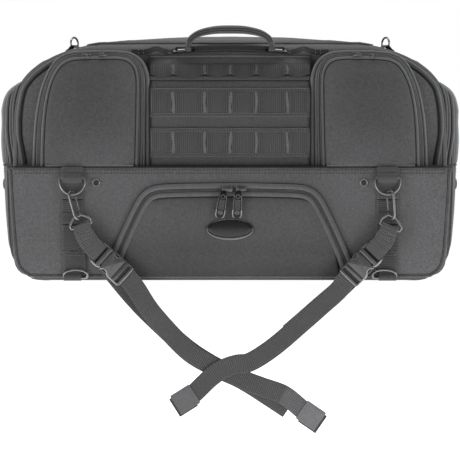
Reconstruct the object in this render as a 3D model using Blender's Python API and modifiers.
"""Rear luggage bag with a webbing grid, zipped pockets and two crossing tie-down straps.

Metres, +Z up. The origin is at the middle of the base. The front faces -Y and +X is to the
right as seen from the front. All sizes below are in millimetres and are scaled once by MM.
Cutters and solids that are joined on stay in the scene as hidden helpers.
"""
import math

import bmesh
import bpy
from mathutils import Matrix, Vector

MM = 0.001
GAP = 0.3  # clearance between neighbouring pieces
SIDES = ((-1, "left"), (1, "right"))

# ---- dimensions shared between sections (mm) ---------------------------------
FRONT_Y = -150.0  # face of the lower front band and of the corner doors
FLAP_FACE_Y = -158.0  # face of the accessory pocket and its flap
SHELL_FRONT_Y = -112.0
SHELL_REAR_Y = 130.0
POCKET_BACK_Y = SHELL_FRONT_Y - GAP
SEAM_Z = 148.5  # seam between the lower band and the upper pockets
BAND_TOP_Z = SEAM_Z - GAP
UPPER_BASE_Z = SEAM_Z + GAP

RING_X = 204.5  # centre of the webbing strips that carry the rings
D_BAR = (-156.0, 134.0)  # y, z of the upper D ring's straight bar
D_LOW = (-160.0, 112.6)  # y, z of the upper D ring's lowest point
LOW_BAR = (-153.8, 4.0)  # y, z of the lower D ring's bar
TOP_BAR = (204.8, -88, 308.9)  # middle of the right standing ring's bar

# ---- scene ------------------------------------------------------------------
for old in list(bpy.data.objects):
    bpy.data.objects.remove(old, do_unlink=True)

PARTS = bpy.data.collections.new("rear_luggage_bag")
CUTTERS = bpy.data.collections.new("cutters")
bpy.context.scene.collection.children.link(PARTS)
bpy.context.scene.collection.children.link(CUTTERS)


def material(name, colour, roughness, metallic=0.0):
    made = bpy.data.materials.new(name)
    made.use_nodes = True
    shader = made.node_tree.nodes["Principled BSDF"]
    shader.inputs["Base Color"].default_value = (*colour, 1.0)
    shader.inputs["Roughness"].default_value = roughness
    shader.inputs["Metallic"].default_value = metallic
    return made


FABRIC = material("ballistic_fabric", colour=(0.070, 0.070, 0.073), roughness=0.9)
PANEL = material("padded_panel", colour=(0.085, 0.085, 0.088), roughness=0.85)
WEBBING = material("webbing", colour=(0.040, 0.040, 0.042), roughness=0.8)
BOARD = material("board", colour=(0.03, 0.03, 0.03), roughness=0.7)
METAL = material("gunmetal", colour=(0.32, 0.32, 0.33), roughness=0.28, metallic=1.0)
PLASTIC = material("buckle_plastic", colour=(0.060, 0.060, 0.064), roughness=0.4)
BADGE = material("badge", colour=(0.06, 0.06, 0.065), roughness=0.2, metallic=0.8)


# ---- solids: without a material, each of these makes a hidden helper ----------
def put(obj, mat=None):
    """File the object as a part of that material or, without one, as a hidden helper."""
    for collection in list(obj.users_collection):
        collection.objects.unlink(obj)
    if mat is None:
        CUTTERS.objects.link(obj)
        obj.hide_render = True
        obj.display_type = "WIRE"
    else:
        PARTS.objects.link(obj)
        obj.data.materials.clear()
        obj.data.materials.append(mat)
    return obj


def new_object(name, data):
    obj = bpy.data.objects.new(name, data)
    bpy.context.scene.collection.objects.link(obj)
    return obj


def baked(obj, name):
    """Replace obj by its evaluated mesh in world space, with the seams of its caps welded."""
    bpy.context.view_layer.update()
    graph = bpy.context.evaluated_depsgraph_get()
    mesh = bpy.data.meshes.new_from_object(obj.evaluated_get(graph))
    mesh.transform(obj.matrix_world)
    bm = bmesh.new()
    bm.from_mesh(mesh)
    bmesh.ops.remove_doubles(bm, verts=bm.verts, dist=1e-6)
    bmesh.ops.recalc_face_normals(bm, faces=bm.faces)
    bm.to_mesh(mesh)
    bm.free()
    bpy.data.objects.remove(obj, do_unlink=True)
    return new_object(name, mesh)


def poly_curve(name, dimensions, fill_mode, points, closed):
    """A curve object of one straight-sided line through points given in metres."""
    curve = bpy.data.curves.new(name, "CURVE")
    curve.dimensions = dimensions
    curve.fill_mode = fill_mode
    line = curve.splines.new("POLY")
    line.points.add(len(points) - 1)
    for point, place in zip(line.points, points):
        point.co = (*place, 1)
    line.use_cyclic_u = closed
    return new_object(name, curve)


# Turns a flat outline so that its thickness lies along the named axis.
TURN = {
    "X": Matrix(((0, 0, 1), (1, 0, 0), (0, 1, 0))).to_4x4(),
    "Y": Matrix(((1, 0, 0), (0, 0, -1), (0, 1, 0))).to_4x4(),
    "Z": Matrix.Identity(4),
}


def plate(name, outline, axis, low, high, mat=None, soft=0.0, front_only=False, segments=2,
          square_below=-math.inf):
    """A flat outline given thickness between low and high along axis.

    The outline is (y, z) for X, (x, z) for Y and (x, y) for Z. soft rounds the rim by that
    width, on the low face only if front_only. A rim edge that does not rise above the height
    square_below stays square.
    """
    flat = [(across * MM, up * MM, 0) for across, up in outline]
    obj = poly_curve(name, "2D", "BOTH", flat, closed=True)
    obj.data.extrude = (high - low) / 2 * MM
    index = "XYZ".index(axis)
    shift = Vector((0, 0, 0))
    shift[index] = (low + high) / 2
    obj.matrix_world = Matrix.Translation(shift * MM) @ TURN[axis]
    obj = baked(obj, name)

    bm = bmesh.new()
    bm.from_mesh(obj.data)
    bmesh.ops.dissolve_limit(bm, angle_limit=0.002, verts=bm.verts, edges=bm.edges)
    weight = bm.edges.layers.float.new("bevel_weight_edge")
    rims = (low,) if front_only else (low, high)
    for edge in bm.edges:
        ends = [v.co[index] / MM for v in edge.verts]
        on_rim = any(all(abs(end - rim) < 0.01 for end in ends) for rim in rims)
        if on_rim and max(v.co.z / MM for v in edge.verts) > square_below:
            edge[weight] = 1.0
    bm.to_mesh(obj.data)
    bm.free()
    put(obj, mat)
    if soft:
        bevel = obj.modifiers.new("rim", "BEVEL")
        bevel.width = soft * MM
        bevel.segments = segments
        bevel.limit_method = "WEIGHT"
        bevel.use_clamp_overlap = True
    return obj


def block(name, low, high, mat=None, soft=0.0):
    """A box between two opposite corners, its edges chamfered by soft."""
    bpy.ops.mesh.primitive_cube_add(size=1)
    obj = bpy.context.active_object
    obj.name = name
    size = [(b - a) * MM for a, b in zip(low, high)]
    obj.data.transform(Matrix.Diagonal((*size, 1)))
    obj.location = [(a + b) / 2 * MM for a, b in zip(low, high)]
    put(obj, mat)
    if soft:
        bevel = obj.modifiers.new("edges", "BEVEL")
        bevel.width = soft * MM
        bevel.segments = 1
    return obj


def rod(name, centre, axis, radius, length, mat=None, sides=16):
    bpy.ops.mesh.primitive_cylinder_add(vertices=sides, radius=radius * MM, depth=length * MM)
    obj = bpy.context.active_object
    obj.name = name
    obj.location = Vector(centre) * MM
    obj.rotation_mode = "QUATERNION"
    obj.rotation_quaternion = Vector((0, 0, 1)).rotation_difference(Vector(axis))
    return put(obj, mat)


def wire(name, points, radius, mat, closed=False):
    """A round bar along the points."""
    obj = poly_curve(name, "3D", "FULL", [Vector(point) * MM for point in points], closed)
    obj.data.bevel_depth = radius * MM
    obj.data.bevel_resolution = 2
    obj.data.use_fill_caps = not closed
    obj = put(baked(obj, name), mat)
    obj.data.shade_smooth()
    return obj


def boolean(obj, operation, others):
    for other in others:
        made = obj.modifiers.new(operation.lower(), "BOOLEAN")
        made.operation = operation
        made.object = other
        made.solver = "EXACT"


def cut(obj, *others):
    boolean(obj, "DIFFERENCE", others)


def join(obj, *others):
    boolean(obj, "UNION", others)


def keep_inside(obj, *others):
    boolean(obj, "INTERSECT", others)


# ---- outlines -----------------------------------------------------------------
def curve_through(points, steps):
    """Catmull-Rom points through the given ones, with that many steps in each span."""
    points = [Vector(point) for point in points]
    padded = [points[0] * 2 - points[1], *points, points[-1] * 2 - points[-2]]
    out = []
    for a, b, c, d in zip(padded, padded[1:], padded[2:], padded[3:]):
        for k in range(steps):
            t = k / steps
            out.append(0.5 * (2 * b + (c - a) * t + (2 * a - 5 * b + 4 * c - d) * t * t
                              + (3 * b - a - 3 * c + d) * t**3))
    return out + [points[-1]]


def inset(outline, by):
    """The outline moved inwards, for a counter-clockwise outline without sharp corners."""
    if not by:
        return outline
    out = []
    for i in range(len(outline)):
        before, here, after = (Vector(outline[(i + k) % len(outline)]) for k in (-1, 0, 1))
        first = (here - before).normalized()
        second = (after - here).normalized()
        first_normal = Vector((-first.y, first.x))
        normal = (first_normal + Vector((-second.y, second.x))).normalized()
        scale = max(0.4, normal.dot(first_normal))
        out.append(tuple(here + normal * by / scale))
    return out


def mirrored(half):
    """A closed counter-clockwise outline from its right half, bottom to top."""
    return half + [(-x, z) for x, z in reversed(half) if x > 0.01]


def on_side(outline, sign):
    """An outline drawn for the right side, mirrored if sign asks for the left."""
    return outline if sign > 0 else [(-x, z) for x, z in reversed(outline)]


def d_outline(width, height, steps=9, corner=3.0):
    """A D outline as (along the bar, away from it): bar at 0, bow reaching height."""
    half = width / 2
    lift = corner * 1.2
    points = [(-half + corner, 0), (0, 0), (half - corner, 0),
              (half - corner * 0.25, corner * 0.3)]
    for k in range(steps + 1):
        angle = math.pi * k / steps
        points.append((half * math.cos(angle), lift + (height - lift) * math.sin(angle)))
    points.append((-half + corner * 0.25, corner * 0.3))
    return points


# ---- main shell and lid -------------------------------------------------------
WALL = 5.0
LID_HALF = 178.0
LID_FRONT_Y, LID_REAR_Y = -86.0, 118.0
LID_CLEARANCE = 0.5
# right half of the front view: x, z
ARCH = mirrored([
    (0, 4), (262, 4), (276, 9), (283, 22), (283.6, 120), (283, 212), (281, 236), (276, 253),
    (267.5, 268), (254, 281), (236, 292), (212, 301.5), (184, 308.5), (142, 313.8),
    (77, 318.5), (0, 321.0)])
# side view: y, z
CROWN = [
    (-112.6, 3), (131, 3), (131, 290), (126, 303), (112, 313), (80, 319), (0, 321.6),
    (-40, 320), (-80, 314), (-100, 306.5), (-109, 298.5), (-112.6, 287)]


def envelope(name, by=0):
    """The bag's outer form, moved inwards by that much."""
    solid = plate(name, inset(ARCH, by), "Y", SHELL_FRONT_Y + by, SHELL_REAR_Y - by, FABRIC,
                  soft=8.0)
    keep_inside(solid, plate(name + "_crown", inset(CROWN, by), "X", -300, 300))
    return baked(solid, name)


def lid_box(name, clearance=0.0):
    half = LID_HALF - clearance
    return block(name, (-half, LID_FRONT_Y + clearance, 240),
                 (half, LID_REAR_Y - clearance, 340))


def build_shell_and_lid():
    shell = envelope("main_shell")
    cavity = put(envelope("shell_cavity", WALL))
    lid = shell.copy()
    lid.data = shell.data.copy()
    lid.name = "main_lid"
    put(shell, FABRIC)
    put(lid, FABRIC)
    cut(shell, cavity, lid_box("lid_opening"))
    keep_inside(lid, lid_box("lid_zone", LID_CLEARANCE))
    cut(lid, cavity)


# ---- boards and rear sleeve -----------------------------------------------------
# x, y
BASE = [(-262, -138), (-250, -146), (250, -146), (262, -138),
        (262, 118), (250, 126), (-250, 126), (-262, 118)]
BASE_TOP_Z = 3.7
# opposite corners
STIFFENER = ((-256, -100, 9.4), (256, 118, 12.0))
SLEEVE = ((-145, 130.4, 40), (145, 156, 240))
SLEEVE_SLOT = ((-137, 135, 30), (137, 151.5, 250))


def build_boards():
    plate("base_panel", BASE, "Z", 0, BASE_TOP_Z, BOARD, soft=1.0, segments=1)
    block("stiffener_board", *STIFFENER, BOARD, soft=0.6)


def build_sleeve():
    sleeve = block("rear_sleeve", *SLEEVE, FABRIC, soft=3)
    cut(sleeve, block("sleeve_slot", *SLEEVE_SLOT))


# ---- lower front band, accessory pocket, flap and badge ---------------------------
FLAP_FOLD_Z = 52.0
ROOM_BASE_Z = FLAP_FOLD_Z - 0.4
# right halves of the front view: x, z
BAND = mirrored([
    (0, 4), (254, 4), (267, 8), (275.5, 17), (280, 32), (283, 60), (286.5, 110),
    (288, BAND_TOP_Z)])
BAND_RECESS = mirrored([(0, 24), (138, 24), (132, 60), (112, 96), (100, 106), (0, 110)])
POCKET = mirrored([
    (0, 12), (152, 12), (160, 22), (158, 34), (151.5, 47), (136.2, 76.7), (122.9, 103.2),
    (115.3, 115.5), (102, 123.5), (79, 127), (0, 128.5)])
POCKET_MOUTH = mirrored([(0, 24), (128, 24), (124, 56), (104, 92), (92, 103), (0, 106)])
DOOR_ROOM = mirrored([(0, ROOM_BASE_Z), (190, ROOM_BASE_Z), (190, 160), (0, 160)])
FLAP = mirrored([
    (0, FLAP_FOLD_Z), (144.5, FLAP_FOLD_Z), (140, 60), (127.5, 83), (116.5, 102),
    (109.5, 110.5), (98.5, 116), (80, 118.5), (0, 120)])
BADGE_Z = 66.5
BADGE_HALF_WIDTH, BADGE_HALF_HEIGHT = 31, 13.6
BADGE_THICK = 2.6  # measured from the flap's face
BADGE_SIDES = 32


def build_band():
    band = plate("front_lower_pocket", BAND, "Y", FRONT_Y, POCKET_BACK_Y, FABRIC, soft=4,
                 front_only=True)
    cut(band, plate("band_recess", BAND_RECESS, "Y", FRONT_Y - 5, -117.0))


def build_accessory_pocket():
    pocket = plate("accessory_pocket", POCKET, "Y", FLAP_FACE_Y, FRONT_Y - GAP, FABRIC,
                   soft=3.0, front_only=True, segments=1)
    cut(pocket,
        plate("door_room", DOOR_ROOM, "Y", FLAP_FACE_Y - 5, FRONT_Y - 3.6),
        plate("pocket_mouth", POCKET_MOUTH, "Y", FRONT_Y - 5.2, FRONT_Y + 5))
    plate("front_flap", FLAP, "Y", FLAP_FACE_Y, FRONT_Y - 4.0, PANEL, soft=3.2,
          front_only=True, segments=1, square_below=FLAP_FOLD_Z + 2)


def build_badge():
    angles = [math.tau * k / BADGE_SIDES for k in range(BADGE_SIDES)]
    oval = [(BADGE_HALF_WIDTH * math.cos(angle), BADGE_Z + BADGE_HALF_HEIGHT * math.sin(angle))
            for angle in angles]
    plate("badge_plate", oval, "Y", FLAP_FACE_Y - BADGE_THICK, FLAP_FACE_Y - GAP, BADGE,
          soft=0.9, front_only=True)


# ---- centre panel, webbing grid, top webbing ------------------------------------
PANEL_HALF = 104
PANEL_BACK_Y = -112.4
# front face of the centre panel in side view, upwards: y, z
PANEL_FACE = [
    (-137.0, 150), (-138.5, 175), (-139.0, 200), (-138.0, 225), (-135.0, 246),
    (-129.5, 264), (-122.5, 279), (-115.5, 289), (-112.9, 292)]
GRID_HALF = PANEL_HALF - 0.5
GRID_ROWS = (("bottom", 160.5, 199.0), ("middle", 212.5, 251.0), ("top", 261.0, 282.0))
ROW_STEPS = 4
ROW_REAR, ROW_FRONT = 0.4, 3.4  # distances in front of the panel's face
TOP_WEBBING_HALF = 122
TOP_WEBBING_LINE = ((-113.2, 293.5), (-109.6, 299.2), (-100.6, 307.2))  # y, z
TOP_WEBBING_OUT = (-1.5, 1.4)  # y, z from the under side to the upper side


def panel_y(z):
    """Depth of the centre panel's face at a height it reaches."""
    for (y0, z0), (y1, z1) in zip(PANEL_FACE, PANEL_FACE[1:]):
        if z <= z1:
            return y0 + (y1 - y0) * (z - z0) / (z1 - z0)


def build_centre_panel():
    outline = [(PANEL_BACK_Y, 292), *reversed(PANEL_FACE), (PANEL_BACK_Y, UPPER_BASE_Z)]
    plate("centre_panel", outline, "X", -PANEL_HALF, PANEL_HALF, FABRIC)


def build_webbing_rows():
    for word, z0, z1 in GRID_ROWS:
        heights = [z0 + (z1 - z0) * k / ROW_STEPS for k in range(ROW_STEPS + 1)]
        rear = [(panel_y(z) - ROW_REAR, z) for z in heights]
        front = [(panel_y(z) - ROW_FRONT, z) for z in heights]
        plate("molle_row_" + word, rear + front[::-1], "X", -GRID_HALF, GRID_HALF, WEBBING)


def build_top_webbing():
    under = [Vector(point) for point in TOP_WEBBING_LINE]
    upper = [point + Vector(TOP_WEBBING_OUT) for point in reversed(under)]
    plate("top_webbing", [tuple(point) for point in under + upper], "X",
          -TOP_WEBBING_HALF, TOP_WEBBING_HALF, WEBBING)


# ---- corner pockets and end pockets -----------------------------------------------
CORNER_FRONT_Y = -130.0  # front of the pocket body, where its door starts
# right side, front view: x, z
CORNER_BODY = [
    (105.5, UPPER_BASE_Z), (256, UPPER_BASE_Z), (254.5, 190), (250.5, 222), (245.5, 244),
    (235, 263), (222, 276), (205, 285), (178, 292), (140, 294), (128, 292.5), (117.5, 287),
    (109.5, 276), (106.5, 262)]
CORNER_DOOR = [
    (109, UPPER_BASE_Z), (252.5, UPPER_BASE_Z), (251.5, 190), (247.5, 221), (242.5, 242),
    (232.5, 260), (220, 273), (204, 282), (178, 289), (141, 291), (129.5, 289.5), (120, 284),
    (112.5, 273), (110, 260)]
END_BODY = [
    (284.0, 6), (288, 8), (293, 20), (296, 45), (299, 80), (301.5, 115), (302.5, 144),
    (302.3, 149.6), (297.7, 149.6), (297.7, 215), (291.2, 240), (285.2, 249.4), (284.0, 249.4)]
END_DOOR = [
    (298.2, 150), (304.6, 150), (306.6, 175), (307.0, 205), (305, 226), (299.5, 243),
    (291, 254.5), (285.2, 259.5), (284.4, 255), (285.4, 251.2), (291.9, 240.7), (298.2, 215.3)]
END_RECESS_X = (289, 320)


def build_corner_pocket(sign, word):
    body = plate("corner_pocket_" + word, on_side(CORNER_BODY, sign), "Y", CORNER_FRONT_Y,
                 POCKET_BACK_Y, FABRIC, soft=4, front_only=True, square_below=SEAM_Z + 2)
    cut(body, plate("corner_recess_" + word, on_side(inset(CORNER_BODY, 9), sign), "Y",
                    -140, -118))
    door = plate("corner_door_" + word, on_side(CORNER_DOOR, sign), "Y", FRONT_Y,
                 CORNER_FRONT_Y - GAP, PANEL, soft=10, front_only=True, segments=3,
                 square_below=SEAM_Z + 2)
    cut(door, plate("corner_hollow_" + word, on_side(inset(CORNER_DOOR, 14), sign), "Y",
                    -145, -120))


def build_end_pocket(sign, word):
    """A fixed body on the end of the shell, with a door that folds down."""
    body = plate("end_pocket_" + word, on_side(END_BODY, sign), "Y", -104, 120, FABRIC)
    x0, x1 = sorted(sign * x for x in END_RECESS_X)
    cut(body, block("end_recess_" + word, (x0, -88, 156), (x1, 104, 222)))
    plate("end_door_" + word, on_side(END_DOOR, sign), "Y", -96, 112, PANEL)


# ---- ring strips, eyelets and rings -------------------------------------------------
STRIP_HALF = 14.8
STRIP_FRONT_Y, STRIP_BASE_Z = -152.3, 2.2
KEEPER_HALF, LOW_KEEPER_HALF = 12.6, 11.6
BORE_RADIUS, LOW_BORE_RADIUS, TOP_BORE_RADIUS = 2.1, 1.75, 1.7
# folds that hold the ring bars, side view: y, z
KEEPER = [
    (-150.4, 146.5), (-153.6, 141.2), (-156.2, 138.4), (-159.0, 136.8), (-160.0, 134.0),
    (-159.0, 131.6), (-156.2, 130.0), (-152.5, 128.2), (-150.4, 126)]
LOW_KEEPER = [
    (-150.4, 12), (-154.4, 7.6), (-156.6, 6.0), (-157.2, 4.1), (-156.6, 2.2),
    (-153.9, 0.7), (-150.4, 0.9)]
# right shoulder, front view: x, z
TOP_KEEPER = [
    (196.5, 309.5), (196.0, 306.9), (212.5, 302.8), (213.5, 305.6), (208.2, 308.4),
    (206.5, 311.8), (203.6, 312.4), (201.8, 310.2)]
TOP_KEEPER_HALF = 11
EYE_X, EYE_Z = 173.6, 128
EYE_RADIUS, EYE_HOLE_RADIUS = 5.4, 2.9
EYE_THICK = 1.8
D_WIRE, LOW_WIRE, TOP_WIRE = 1.6, 1.35, 1.3  # wire radii of the three rings


def build_ring_strip(sign, word):
    """A webbing strip with a folded keeper at each end."""
    middle = sign * RING_X
    strip = block("strip_webbing_" + word, (middle - STRIP_HALF, STRIP_FRONT_Y, STRIP_BASE_Z),
                  (middle + STRIP_HALF, FRONT_Y - GAP, SEAM_Z - 1), WEBBING)
    join(strip,
         plate("keeper_" + word, KEEPER, "X", middle - KEEPER_HALF, middle + KEEPER_HALF),
         plate("low_keeper_" + word, LOW_KEEPER, "X", middle - LOW_KEEPER_HALF,
               middle + LOW_KEEPER_HALF))
    cut(strip,
        rod("keeper_bore_" + word, (middle, *D_BAR), (1, 0, 0), BORE_RADIUS, 60),
        rod("low_bore_" + word, (middle, *LOW_BAR), (1, 0, 0), LOW_BORE_RADIUS, 60))


def build_eyelet(sign, word):
    centre = (sign * EYE_X, FRONT_Y - GAP - EYE_THICK / 2, EYE_Z)
    eye = rod("grommet_" + word, centre, (0, -1, 0), EYE_RADIUS, EYE_THICK, METAL, sides=24)
    cut(eye, rod("grommet_hole_" + word, centre, (0, -1, 0), EYE_HOLE_RADIUS, 8))


def build_top_keeper(sign, word):
    """The sewn keeper on the shoulder that holds the standing ring."""
    bar_x, bar_y, bar_z = TOP_BAR
    keeper = plate("top_ring_keeper_" + word, on_side(TOP_KEEPER, sign), "Y",
                   bar_y - TOP_KEEPER_HALF, bar_y + TOP_KEEPER_HALF, WEBBING)
    cut(keeper, rod("top_bore_" + word, (sign * bar_x, bar_y, bar_z), (0, 1, 0),
                    TOP_BORE_RADIUS, 40))


def ring(name, outline, origin, along, away, radius):
    """A closed wire from an (along, away) outline."""
    origin = Vector(origin)
    along = Vector(along).normalized()
    away = Vector(away).normalized()
    wire(name, [origin + along * a + away * b for a, b in outline], radius, METAL, closed=True)


def build_rings(sign, word):
    middle = sign * RING_X
    down = Vector((0, D_LOW[0] - D_BAR[0], D_LOW[1] - D_BAR[1]))
    ring("d_ring_" + word, d_outline(32.8, down.length), (middle, *D_BAR), (1, 0, 0), down,
         D_WIRE)
    # at the bottom edge, leaning up against the face
    ring("lower_d_ring_" + word, d_outline(30.5, 10.8, steps=7, corner=3.4),
         (middle, *LOW_BAR), (1, 0, 0), (0, -2.3, 10.6), LOW_WIRE)
    # standing on the shoulder
    ring("top_ring_" + word, d_outline(27.0, 10.4, steps=8), (sign * TOP_BAR[0], *TOP_BAR[1:]),
         (0, 1, 0), (sign, 0, 10), TOP_WIRE)


# ---- handle ------------------------------------------------------------------------
HANDLE_Y, HANDLE_Z = -116.5, 303.0  # axis on which the handle turns
BRACKET_FOOT = (-113.1, 299.8)  # y, z
BRACKET_BEND = (HANDLE_Y + 0.8, HANDLE_Z - 0.3)  # y, z
# right bracket: x, y, z
BRACKET = [
    (70, *BRACKET_FOOT), (70, *BRACKET_BEND), (69, HANDLE_Y, HANDLE_Z),
    (60, HANDLE_Y, HANDLE_Z), (49, HANDLE_Y, HANDLE_Z), (48, *BRACKET_BEND),
    (48, *BRACKET_FOOT)]
# right half of the grip, upwards: x, z
GRIP = [(54.6, 306.0), (53.5, 311.0), (48.5, 317.0), (38.0, 323.0), (20.0, 327.2), (0, 328.4)]
GRIP_RADIUS = 4.4
GRIP_STRETCH = 1.7  # depth of the grip's section over its height
HANDLE_EYE_X, HANDLE_BORE_X = 54.4, 58


def build_brackets():
    for sign, word in SIDES:
        wire("handle_bracket_" + word, [(sign * x, y, z) for x, y, z in BRACKET], 1.9, METAL)


def build_handle():
    line = [(-x, z) for x, z in GRIP[:-1]] + GRIP[::-1]
    path = curve_through([(x, HANDLE_Y, z) for x, z in line], 2)
    handle = wire("carry_handle", path, GRIP_RADIUS, WEBBING)
    for v in handle.data.vertices:
        v.co.y = HANDLE_Y * MM + (v.co.y - HANDLE_Y * MM) * GRIP_STRETCH
    for sign, word in SIDES:
        join(handle, rod("handle_eye_" + word, (sign * HANDLE_EYE_X, HANDLE_Y, HANDLE_Z),
                         (1, 0, 0), 4.8, 8.4, sides=20))
    for sign, word in SIDES:
        cut(handle, rod("handle_bore_" + word, (sign * HANDLE_BORE_X, HANDLE_Y, HANDLE_Z),
                        (1, 0, 0), 2.35, 30))


# ---- hooks, strap rings, buckles and straps -------------------------------------------
STRAP_W = 25.0
STRAP_T, SHORT_STRAP_T = 1.6, 1.7
CHAIN_Y = -166.0  # mid plane of the strap hardware
SHORT_FRONT_Y, SHORT_REAR_Y = CHAIN_Y - 2.75, CHAIN_Y + 2.75
# depths of the long straps' layers, from the rearmost to the frontmost
UNDER_Y, RETURN_Y, TAIL_Y, OVER_Y = -160.4, -163.2, -168.8, -173.4
TURN_STEPS = 5
HOOK_END_Y = -164.0
HOOK_HALF = 5.6  # half width of the hook, and radius of its rounded ends
HOOK_STEPS = 8
MALE_PIN, FEMALE_PIN = 3.2, 45.7  # where the straps turn, along the buckle

# All points and directions are x, z. buckle_axis runs from the short strap to the long one.
# short_via lies between the ring's bar and the buckle. The long strap runs along under to its
# far turn, along back to the buckle, then along tail. tail_y is the depth of its loose end.
CHAINS = {
    "left": dict(
        hook_top=(-206.0, 116.7), hook_end=(-195.8, 80.6),
        bar=(-192.0, 72.0), bar_along=(0.948, 0.318),
        short_via=[(-188.6, 62.5), (-181.0, 50.0)],
        buckle=(-172.5, 40.4), buckle_axis=(0.746, -0.666),
        under=[(-184.0, 60.0), (-170.0, 36.0), (-146.3, 4.6), (-123.5, -22.5),
               (-100.8, -46.0), (-58.5, -85.0), (-24.0, -108.0), (16.3, -128.5),
               (48.0, -147.0), (68.0, -161.5)],
        back=[(68.0, -161.5), (48.0, -147.0), (16.3, -128.0), (-26.0, -107.5),
              (-58.6, -86.0), (-100.1, -41.5), (-121.0, -10.0)],
        tail=[(-121.0, -10.0), (-100.1, -41.0), (-58.6, -86.5), (-26.7, -107.3),
              (16.3, -126.8), (42.0, -136.5), (69.6, -146.6), (92.6, -165.0),
              (101.0, -171.0)],
        tail_y=TAIL_Y),
    "right": dict(
        hook_top=(207.2, 117.3), hook_end=(209.6, 80.6),
        bar=(206.6, 70.0), bar_along=(0.928, -0.371),
        short_via=[(202.6, 60.0), (196.5, 50.0)],
        buckle=(188.0, 40.8), buckle_axis=(-0.70, -0.714),
        under=[(198.0, 56.0), (186.0, 37.0), (160.0, 8.0), (140.0, -12.0),
               (118.0, -31.0), (97.0, -49.5), (78.0, -66.0)],
        back=[(78.0, -66.0), (97.0, -49.5), (118.0, -31.0), (140.0, -11.5)],
        tail=[(140.0, -11.5), (118.0, -31.0), (97.1, -49.4), (57.9, -83.2),
              (26.7, -103.4), (8.5, -106.5), (-8.5, -112.5), (-26.0, -124.8),
              (-45.6, -143.7), (-54.0, -149.6)],
        tail_y=OVER_Y),
}

BUCKLE_HALF = 15.2
BUCKLE_L = 51.0
MALE_END, FEMALE_START = 15.4, 15.8
# Depths in the buckle are measured from CHAIN_Y.
BUCKLE_FRONT, BUCKLE_REAR = -4.8, 4.6
PAST_FRONT, PAST_REAR = BUCKLE_FRONT - 5, BUCKLE_REAR + 5
WINDOW = (19.5, 28.0)  # along the buckle
# name, start and end along the buckle, half width, front and rear depth
MALE_CUTS = (
    ("male_slot", -9, 0.45, 12.95, PAST_FRONT, PAST_REAR),
    ("male_slot2", 3.75, 10.6, 12.95, PAST_FRONT, PAST_REAR),
    ("male_over", -5, 8.5, 12.95, PAST_FRONT, -1.6),
    ("male_below", -5, 8.5, 12.95, 1.6, PAST_REAR))
MALE_ADDED = (
    ("male_tongue", 15.0, 29.0, 10.6, -2.0, 1.8),
    ("male_bar", 0.5, 3.7, 14.0, -1.5, 1.5))
FEMALE_CUTS = (
    ("female_cavity", 10, 30.5, 11.2, -2.6, 2.4),
    ("female_slot", 36.5, BUCKLE_L + 9, 13.0, PAST_FRONT, PAST_REAR))
FEMALE_ADDED = (("female_bar", 45.5, 48.9, 14.4, -1.5, 1.5),)


def flat_vector(point, y=0.0):
    """A 3D vector from x, z."""
    return Vector((point[0], y, point[1]))


def square_to(along):
    """The direction across a strap that runs in the xz plane."""
    return Vector((-along.z, 0, along.x))


def agreeing(direction, like):
    """The direction or its opposite, whichever points the same way as like."""
    return direction if like.dot(direction) > 0 else -direction


def lane(points, depth, end_depth=None):
    """Centre points and directions across for a strap along x, z points.

    The depth moves to end_depth, if given, early in the strap's length.
    """
    change = 0.0 if end_depth is None else end_depth - depth
    line = curve_through([(x, 0, z) for x, z in points], 3)
    last = len(line) - 1
    centres, across = [], []
    for k, point in enumerate(line):
        ahead = line[min(k + 1, last)] - line[max(k - 1, 0)]
        progress = min(1.0, max(0.0, (k / last - 0.08) / 0.18))
        centres.append(Vector((point.x, depth + change * progress, point.z)))
        across.append(square_to(ahead).normalized())
    return centres, across


def half_turn(point, heading, across, from_y, to_y):
    """A strap turning back past point to another depth; heading is where it was going."""
    middle, radius = (from_y + to_y) / 2, abs(to_y - from_y) / 2
    heading = heading.normalized()
    centres = []
    for k in range(1, TURN_STEPS):
        angle = math.pi * k / TURN_STEPS
        y = middle + (from_y - middle) * math.cos(angle)
        centres.append(Vector((point.x, y, point.z)) + heading * radius * math.sin(angle))
    return centres, [across] * len(centres)


def webbing(name, sections, thick):
    """One strap through (centres, across) sections: an open surface thickened by Solidify."""
    bm = bmesh.new()
    rows = []
    for section in sections:
        for point, across in zip(*section):
            across = across.normalized()
            rows.append([bm.verts.new((point + across * STRAP_W / 2 * k) * MM)
                         for k in (-1, 1)])
    for row, following in zip(rows, rows[1:]):
        bm.faces.new((row[0], row[1], following[1], following[0]))
    mesh = bpy.data.meshes.new(name)
    bm.to_mesh(mesh)
    bm.free()
    obj = put(new_object(name, mesh), WEBBING)
    solid = obj.modifiers.new("thickness", "SOLIDIFY")
    solid.thickness = thick * MM
    solid.offset = 0.0
    return obj


def strap_block(name, origin, along, low, high, mat=None, soft=0.0):
    """A block whose corners are (along the strap, across it, depth y)."""
    obj = block(name, (low[0], low[2], low[1]), (high[0], high[2], high[1]), mat, soft)
    along = flat_vector(along).normalized()
    turn = Matrix((along, Vector((0, 1, 0)), square_to(along))).transposed().to_4x4()
    shift = Matrix.Translation(flat_vector(origin) * MM)
    obj.matrix_world = shift @ turn @ Matrix.Translation(obj.location)
    return obj


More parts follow.
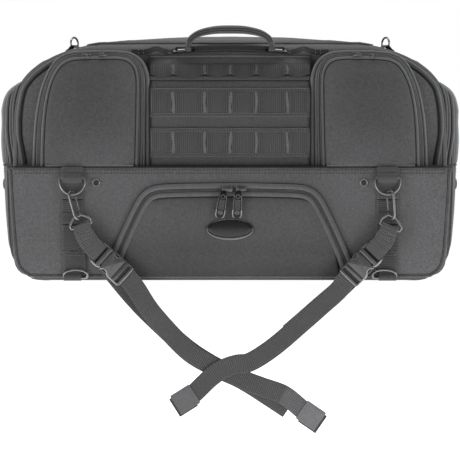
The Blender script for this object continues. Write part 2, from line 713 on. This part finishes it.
def build_hook(sign, word, chain):
    top = flat_vector(chain["hook_top"], D_LOW[0])
    end = flat_vector(chain["hook_end"], HOOK_END_Y)
    down = (end - top).normalized()
    aside = Vector((0.7071 * sign, -0.7071, 0))
    aside = (aside - down * aside.dot(down)).normalized()
    length = (end - top).length
    side = aside * HOOK_HALF
    path = []
    for k in range(HOOK_STEPS + 1):
        angle = math.pi * k / HOOK_STEPS
        path.append(top + down * (HOOK_HALF - HOOK_HALF * math.sin(angle))
                    - side * math.cos(angle))
    low_bend = length - HOOK_HALF
    path.append(top + down * low_bend + side)
    for k in range(1, HOOK_STEPS):
        angle = math.pi * k / HOOK_STEPS
        path.append(top + down * (low_bend + HOOK_HALF * math.sin(angle))
                    + side * math.cos(angle))
    path.append(top + down * low_bend - side)
    # the wire stops short on the open side, which the gate closes
    gate_low = low_bend - 3.0
    path.append(top + down * gate_low - side)
    wire("hook_" + word, path, 1.45, METAL)

    foot = top + down * (gate_low - 3.4) - side
    nose = top + down * (HOOK_HALF + 2.6) - side
    wire("hook_gate_" + word, [foot, foot.lerp(nose, 0.5), nose], 1.05, METAL)


def build_strap_ring(word, chain):
    """The ring between the hook and the short strap."""
    top = flat_vector(chain["hook_top"], D_LOW[0])
    end = flat_vector(chain["hook_end"], HOOK_END_Y)
    bar = flat_vector(chain["bar"], CHAIN_Y)
    along = flat_vector(chain["bar_along"])
    # the ring crosses the hook just above the hook's lower end
    reach = end - (end - top).normalized() * 3.8 - bar
    lean = reach.dot(along)
    rise = reach - along * lean
    # along the bar, share of the rise
    outline = [(-14.6, 0), (14.6, 0), (16.0, 0.12), (15.4, 0.42), (lean + 6.0, 1), (lean, 1),
               (lean - 6.0, 1), (-15.4, 0.42), (-16.0, 0.12)]
    wire("strap_ring_" + word, [bar + along * a + rise * share for a, share in outline], 1.45,
         METAL, closed=True)


def build_short_strap(word, chain):
    """Round the ring's bar, down the front and round the buckle's bar."""
    axis = flat_vector(chain["buckle_axis"]).normalized()
    pin = flat_vector(chain["buckle"]) + axis * MALE_PIN
    front, across = lane([chain["bar"], *chain["short_via"], (pin.x, pin.z)], SHORT_FRONT_Y)
    across[0] = agreeing(flat_vector(chain["bar_along"]), across[0])
    across[-1] = agreeing(square_to(axis), across[-1])
    rear = [Vector((point.x, SHORT_REAR_Y, point.z)) for point in front]
    over = half_turn(front[0], front[0] - front[1], across[0], SHORT_REAR_Y, SHORT_FRONT_Y)
    under = half_turn(front[-1], axis, across[-1], SHORT_FRONT_Y, SHORT_REAR_Y)
    webbing("short_strap_" + word,
            [(rear[3::-1], across[3::-1]), over, (front, across), under,
             (rear[-1:-4:-1], across[-1:-4:-1])], SHORT_STRAP_T)


def build_buckle(word, chain):
    """A side-release buckle."""
    def part(name, start, end, left, right, front, rear, mat=None, soft=0.0):
        return strap_block(name + "_" + word, chain["buckle"], chain["buckle_axis"],
                           (start, left, CHAIN_Y + front), (end, right, CHAIN_Y + rear),
                           mat, soft)

    def centred(rows):
        return [part(name, start, end, -half, half, front, rear)
                for name, start, end, half, front, rear in rows]

    # male half: bar, shoulders and tongue
    male = part("buckle_male", 0, MALE_END, -BUCKLE_HALF, BUCKLE_HALF, BUCKLE_FRONT + 0.9,
                BUCKLE_REAR, PLASTIC, soft=1.2)
    cut(male, *centred(MALE_CUTS))
    join(male, *centred(MALE_ADDED))
    # female half: cavity for the tongue, side windows and a bar for the long strap
    female = part("buckle_female", FEMALE_START, BUCKLE_L, -BUCKLE_HALF, BUCKLE_HALF,
                  BUCKLE_FRONT, BUCKLE_REAR, PLASTIC, soft=1.4)
    cut(female, *centred(FEMALE_CUTS),
        part("side_window_a", *WINDOW, 10.8, 20, -2.6, 2.4),
        part("side_window_b", *WINDOW, -20, -10.8, -2.6, 2.4))
    join(female, *centred(FEMALE_ADDED))


def build_long_strap(word, chain):
    """Down to the far turn, back up round the buckle's bar, and a tail with a folded end."""
    axis = flat_vector(chain["buckle_axis"]).normalized()
    pin = flat_vector(chain["buckle"]) + axis * FEMALE_PIN
    leave = pin + axis * 9.0
    at_pin, at_leave = (pin.x, pin.z), (leave.x, leave.z)
    lower, lower_across = lane(chain["under"], UNDER_Y)
    upper, upper_across = lane([*chain["back"], at_leave, at_pin], RETURN_Y)
    upper_across = [-across for across in upper_across]
    front, front_across = lane([at_pin, at_leave, *chain["tail"]], TAIL_Y, chain["tail_y"])
    front_across[0] = agreeing(square_to(axis), front_across[0])
    upper_across[-1] = front_across[0]
    far = half_turn(lower[-1], lower[-1] - lower[-2], lower_across[-1], UNDER_Y, RETURN_Y)
    near = half_turn(upper[-1], -axis, front_across[0], RETURN_Y, TAIL_Y)
    strap = webbing("long_strap_" + word,
                    [(lower, lower_across), far, (upper, upper_across), near,
                     (front, front_across)], STRAP_T)
    last = front[-1]
    way = last - front[-3]
    level = chain["tail_y"]
    join(strap, strap_block("strap_tab_" + word, (last.x, last.z), (way.x, way.z),
                            (-9, -13.6, level - 2.0), (18.5, 13.6, level + 1.8), soft=0.8))


# ---- zip sliders ------------------------------------------------------------------------
SLIDER_MIDDLE_X, SLIDER_OFFSET = 2.0, 11.6
SLIDER_FRONT_Y = FLAP_FACE_Y - 4.6
# name, x, base z
CORNER_SLIDERS = (("inner", 165.0, 291.9), ("outer", 186.0, 289.6))


def build_front_slider(sign, word):
    x = SLIDER_MIDDLE_X + sign * SLIDER_OFFSET
    slider = block("zip_slider_front_" + word, (x - 4.2, SLIDER_FRONT_Y, 111.0),
                   (x + 4.2, FLAP_FACE_Y - GAP, 122.5), METAL, soft=1.0)
    cut(slider, rod("slider_bore_" + word, (x, SLIDER_FRONT_Y, 115.0), (1, 0, 0), 2.0, 20,
                    sides=12))
    pull = block("zip_pull_front_" + word, (x - 5.6, FLAP_FACE_Y - 7.2, 83.0),
                 (x + 5.6, FLAP_FACE_Y - 4.9, 112.0), METAL, soft=0.8)
    join(pull,
         rod("pull_pin_" + word, (x, FLAP_FACE_Y - 5.9, 114.0), (1, 0, 0), 1.2, 9.6, sides=12),
         block("pull_neck_" + word, (x - 5.0, FLAP_FACE_Y - 7.0, 110.0),
               (x + 5.0, FLAP_FACE_Y - 5.2, 114.4)))


def build_corner_sliders(sign, word):
    for place, slider_x, base_z in CORNER_SLIDERS:
        x = sign * slider_x
        block(f"zip_slider_corner_{place}_{word}", (x - 6.0, -145.5, base_z),
              (x + 6.0, -136.0, base_z + 4.4), METAL, soft=1.0)


# ---- build ------------------------------------------------------------------------------
build_shell_and_lid()
build_boards()
build_sleeve()
build_band()
build_accessory_pocket()
build_badge()
build_centre_panel()
build_webbing_rows()
build_top_webbing()
build_brackets()
build_handle()
for side_sign, side_word in SIDES:
    build_corner_pocket(side_sign, side_word)
    build_end_pocket(side_sign, side_word)
    build_ring_strip(side_sign, side_word)
    build_eyelet(side_sign, side_word)
    build_top_keeper(side_sign, side_word)
    build_rings(side_sign, side_word)
    build_hook(side_sign, side_word, CHAINS[side_word])
    build_strap_ring(side_word, CHAINS[side_word])
    build_short_strap(side_word, CHAINS[side_word])
    build_buckle(side_word, CHAINS[side_word])
    build_long_strap(side_word, CHAINS[side_word])
    build_front_slider(side_sign, side_word)
    build_corner_sliders(side_sign, side_word)
